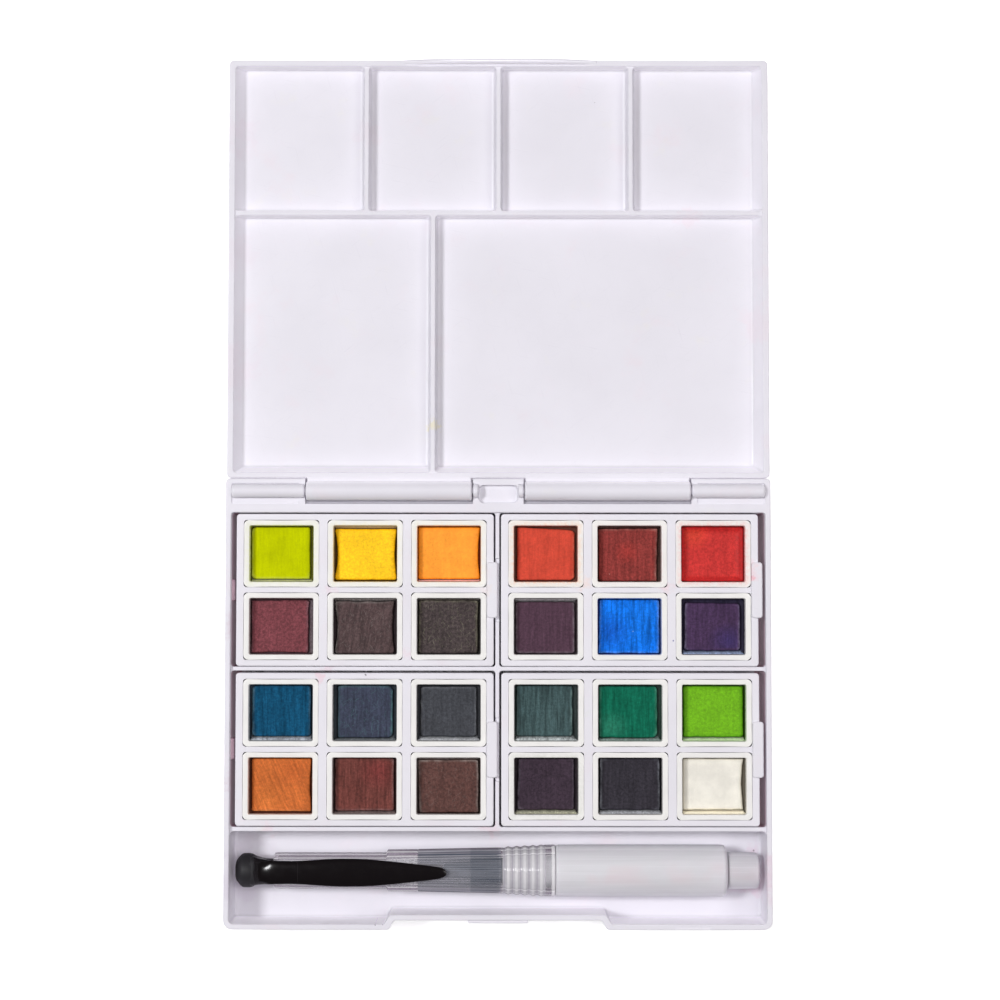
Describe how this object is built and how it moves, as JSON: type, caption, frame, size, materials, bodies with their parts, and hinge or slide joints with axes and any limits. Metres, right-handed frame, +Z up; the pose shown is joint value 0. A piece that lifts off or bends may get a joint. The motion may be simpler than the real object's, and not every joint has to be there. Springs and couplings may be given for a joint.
{
  "type": "watercolour pan set",
  "caption": "Flat hinged travel box of half-pan watercolours: lift-out pan trays, a palette lid with mixing wells, and a water brush in a front trough.",
  "frame": {"origin": "centre of the base's flat underside", "axes": "+X to the right with the box open in front of the painter, +Y to the back, towards the open lid, +Z up"},
  "size_m": [0.1424, 0.2279, 0.0187],
  "materials": {
    "case_plastic": "satin injection-moulded white, faint lavender cast, light paint stains",
    "tray_plastic": "satin white",
    "pan_plastic": "soft gloss warm white",
    "black_plastic": "polished black",
    "clear_plastic": "clear, fluted",
    "milky_plastic": "translucent, frosted",
    "nozzle_plastic": "satin dark grey",
    "bristle": "nylon filament",
    "paint_lime": "dried watercolour cake, matt",
    "paint_yellow": "dried watercolour cake, matt",
    "paint_orange": "dried watercolour cake, matt",
    "paint_plum": "dried watercolour cake, matt",
    "paint_dark_brown": "dried watercolour cake, matt",
    "paint_olive_black": "dried watercolour cake, matt",
    "paint_vermilion": "dried watercolour cake, matt",
    "paint_brick": "dried watercolour cake, matt",
    "paint_crimson": "dried watercolour cake, matt",
    "paint_purple_brown": "dried watercolour cake, matt",
    "paint_blue": "dried watercolour cake, matt",
    "paint_violet": "dried watercolour cake, matt",
    "paint_teal": "dried watercolour cake, matt",
    "paint_blue_grey": "dried watercolour cake, matt",
    "paint_charcoal": "dried watercolour cake, matt",
    "paint_burnt_orange": "dried watercolour cake, matt",
    "paint_red_brown": "dried watercolour cake, matt",
    "paint_brown": "dried watercolour cake, matt",
    "paint_green_grey": "dried watercolour cake, matt",
    "paint_emerald": "dried watercolour cake, matt",
    "paint_leaf_green": "dried watercolour cake, matt",
    "paint_purple_black": "dried watercolour cake, matt",
    "paint_ink_black": "dried watercolour cake, matt",
    "paint_cream_white": "dried watercolour cake, matt"
  },
  "bodies": {
    "base": {"case_base": "case_plastic"},
    "lid": {"palette_lid": "case_plastic"},
    "tray_rear_left": {"tray_rear_left": "tray_plastic"},
    "tray_rear_right": {"tray_rear_right": "tray_plastic"},
    "tray_front_left": {"tray_front_left": "tray_plastic"},
    "tray_front_right": {"tray_front_right": "tray_plastic"},
    "pan_lime": {"pan_lime": "pan_plastic", "paint_lime": "paint_lime"},
    "pan_yellow": {"pan_yellow": "pan_plastic", "paint_yellow": "paint_yellow"},
    "pan_orange": {"pan_orange": "pan_plastic", "paint_orange": "paint_orange"},
    "pan_plum": {"pan_plum": "pan_plastic", "paint_plum": "paint_plum"},
    "pan_dark_brown": {"pan_dark_brown": "pan_plastic", "paint_dark_brown": "paint_dark_brown"},
    "pan_olive_black": {"pan_olive_black": "pan_plastic", "paint_olive_black": "paint_olive_black"},
    "pan_vermilion": {"pan_vermilion": "pan_plastic", "paint_vermilion": "paint_vermilion"},
    "pan_brick": {"pan_brick": "pan_plastic", "paint_brick": "paint_brick"},
    "pan_crimson": {"pan_crimson": "pan_plastic", "paint_crimson": "paint_crimson"},
    "pan_purple_brown": {"pan_purple_brown": "pan_plastic", "paint_purple_brown": "paint_purple_brown"},
    "pan_blue": {"pan_blue": "pan_plastic", "paint_blue": "paint_blue"},
    "pan_violet": {"pan_violet": "pan_plastic", "paint_violet": "paint_violet"},
    "pan_teal": {"pan_teal": "pan_plastic", "paint_teal": "paint_teal"},
    "pan_blue_grey": {"pan_blue_grey": "pan_plastic", "paint_blue_grey": "paint_blue_grey"},
    "pan_charcoal": {"pan_charcoal": "pan_plastic", "paint_charcoal": "paint_charcoal"},
    "pan_burnt_orange": {"pan_burnt_orange": "pan_plastic", "paint_burnt_orange": "paint_burnt_orange"},
    "pan_red_brown": {"pan_red_brown": "pan_plastic", "paint_red_brown": "paint_red_brown"},
    "pan_brown": {"pan_brown": "pan_plastic", "paint_brown": "paint_brown"},
    "pan_green_grey": {"pan_green_grey": "pan_plastic", "paint_green_grey": "paint_green_grey"},
    "pan_emerald": {"pan_emerald": "pan_plastic", "paint_emerald": "paint_emerald"},
    "pan_leaf_green": {"pan_leaf_green": "pan_plastic", "paint_leaf_green": "paint_leaf_green"},
    "pan_purple_black": {"pan_purple_black": "pan_plastic", "paint_purple_black": "paint_purple_black"},
    "pan_ink_black": {"pan_ink_black": "pan_plastic", "paint_ink_black": "paint_ink_black"},
    "pan_cream_white": {"pan_cream_white": "pan_plastic", "paint_cream_white": "paint_cream_white"},
    "water_brush": {"brush_clip_cap": "black_plastic", "brush_clear_cap": "clear_plastic", "brush_bristles": "bristle", "brush_nozzle": "nozzle_plastic", "brush_barrel": "milky_plastic", "brush_end_plug": "milky_plastic"}
  },
  "joints": [
    {"name": "lid_hinge", "type": "hinge", "parent": "base", "child": "lid", "pos_m": [0, 0.05525, 0.01615], "axis": [-1, 0, 0], "range_deg": [-180, 0]},
    {"name": "tray_rear_left_lift", "type": "slide", "parent": "base", "child": "tray_rear_left", "axis": [0, 0, 1], "range_m": [0, 0.02]},
    {"name": "tray_rear_right_lift", "type": "slide", "parent": "base", "child": "tray_rear_right", "axis": [0, 0, 1], "range_m": [0, 0.02]},
    {"name": "tray_front_left_lift", "type": "slide", "parent": "base", "child": "tray_front_left", "axis": [0, 0, 1], "range_m": [0, 0.02]},
    {"name": "tray_front_right_lift", "type": "slide", "parent": "base", "child": "tray_front_right", "axis": [0, 0, 1], "range_m": [0, 0.02]},
    {"name": "pan_lime_lift", "type": "slide", "parent": "tray_rear_left", "child": "pan_lime", "axis": [0, 0, 1], "range_m": [0, 0.014]},
    {"name": "pan_yellow_lift", "type": "slide", "parent": "tray_rear_left", "child": "pan_yellow", "axis": [0, 0, 1], "range_m": [0, 0.014]},
    {"name": "pan_orange_lift", "type": "slide", "parent": "tray_rear_left", "child": "pan_orange", "axis": [0, 0, 1], "range_m": [0, 0.014]},
    {"name": "pan_plum_lift", "type": "slide", "parent": "tray_rear_left", "child": "pan_plum", "axis": [0, 0, 1], "range_m": [0, 0.014]},
    {"name": "pan_dark_brown_lift", "type": "slide", "parent": "tray_rear_left", "child": "pan_dark_brown", "axis": [0, 0, 1], "range_m": [0, 0.014]},
    {"name": "pan_olive_black_lift", "type": "slide", "parent": "tray_rear_left", "child": "pan_olive_black", "axis": [0, 0, 1], "range_m": [0, 0.014]},
    {"name": "pan_vermilion_lift", "type": "slide", "parent": "tray_rear_right", "child": "pan_vermilion", "axis": [0, 0, 1], "range_m": [0, 0.014]},
    {"name": "pan_brick_lift", "type": "slide", "parent": "tray_rear_right", "child": "pan_brick", "axis": [0, 0, 1], "range_m": [0, 0.014]},
    {"name": "pan_crimson_lift", "type": "slide", "parent": "tray_rear_right", "child": "pan_crimson", "axis": [0, 0, 1], "range_m": [0, 0.014]},
    {"name": "pan_purple_brown_lift", "type": "slide", "parent": "tray_rear_right", "child": "pan_purple_brown", "axis": [0, 0, 1], "range_m": [0, 0.014]},
    {"name": "pan_blue_lift", "type": "slide", "parent": "tray_rear_right", "child": "pan_blue", "axis": [0, 0, 1], "range_m": [0, 0.014]},
    {"name": "pan_violet_lift", "type": "slide", "parent": "tray_rear_right", "child": "pan_violet", "axis": [0, 0, 1], "range_m": [0, 0.014]},
    {"name": "pan_teal_lift", "type": "slide", "parent": "tray_front_left", "child": "pan_teal", "axis": [0, 0, 1], "range_m": [0, 0.014]},
    {"name": "pan_blue_grey_lift", "type": "slide", "parent": "tray_front_left", "child": "pan_blue_grey", "axis": [0, 0, 1], "range_m": [0, 0.014]},
    {"name": "pan_charcoal_lift", "type": "slide", "parent": "tray_front_left", "child": "pan_charcoal", "axis": [0, 0, 1], "range_m": [0, 0.014]},
    {"name": "pan_burnt_orange_lift", "type": "slide", "parent": "tray_front_left", "child": "pan_burnt_orange", "axis": [0, 0, 1], "range_m": [0, 0.014]},
    {"name": "pan_red_brown_lift", "type": "slide", "parent": "tray_front_left", "child": "pan_red_brown", "axis": [0, 0, 1], "range_m": [0, 0.014]},
    {"name": "pan_brown_lift", "type": "slide", "parent": "tray_front_left", "child": "pan_brown", "axis": [0, 0, 1], "range_m": [0, 0.014]},
    {"name": "pan_green_grey_lift", "type": "slide", "parent": "tray_front_right", "child": "pan_green_grey", "axis": [0, 0, 1], "range_m": [0, 0.014]},
    {"name": "pan_emerald_lift", "type": "slide", "parent": "tray_front_right", "child": "pan_emerald", "axis": [0, 0, 1], "range_m": [0, 0.014]},
    {"name": "pan_leaf_green_lift", "type": "slide", "parent": "tray_front_right", "child": "pan_leaf_green", "axis": [0, 0, 1], "range_m": [0, 0.014]},
    {"name": "pan_purple_black_lift", "type": "slide", "parent": "tray_front_right", "child": "pan_purple_black", "axis": [0, 0, 1], "range_m": [0, 0.014]},
    {"name": "pan_ink_black_lift", "type": "slide", "parent": "tray_front_right", "child": "pan_ink_black", "axis": [0, 0, 1], "range_m": [0, 0.014]},
    {"name": "pan_cream_white_lift", "type": "slide", "parent": "tray_front_right", "child": "pan_cream_white", "axis": [0, 0, 1], "range_m": [0, 0.014]},
    {"name": "water_brush_lift", "type": "slide", "parent": "base", "child": "water_brush", "axis": [0, 0, 1], "range_m": [0, 0.02]}
  ]
}
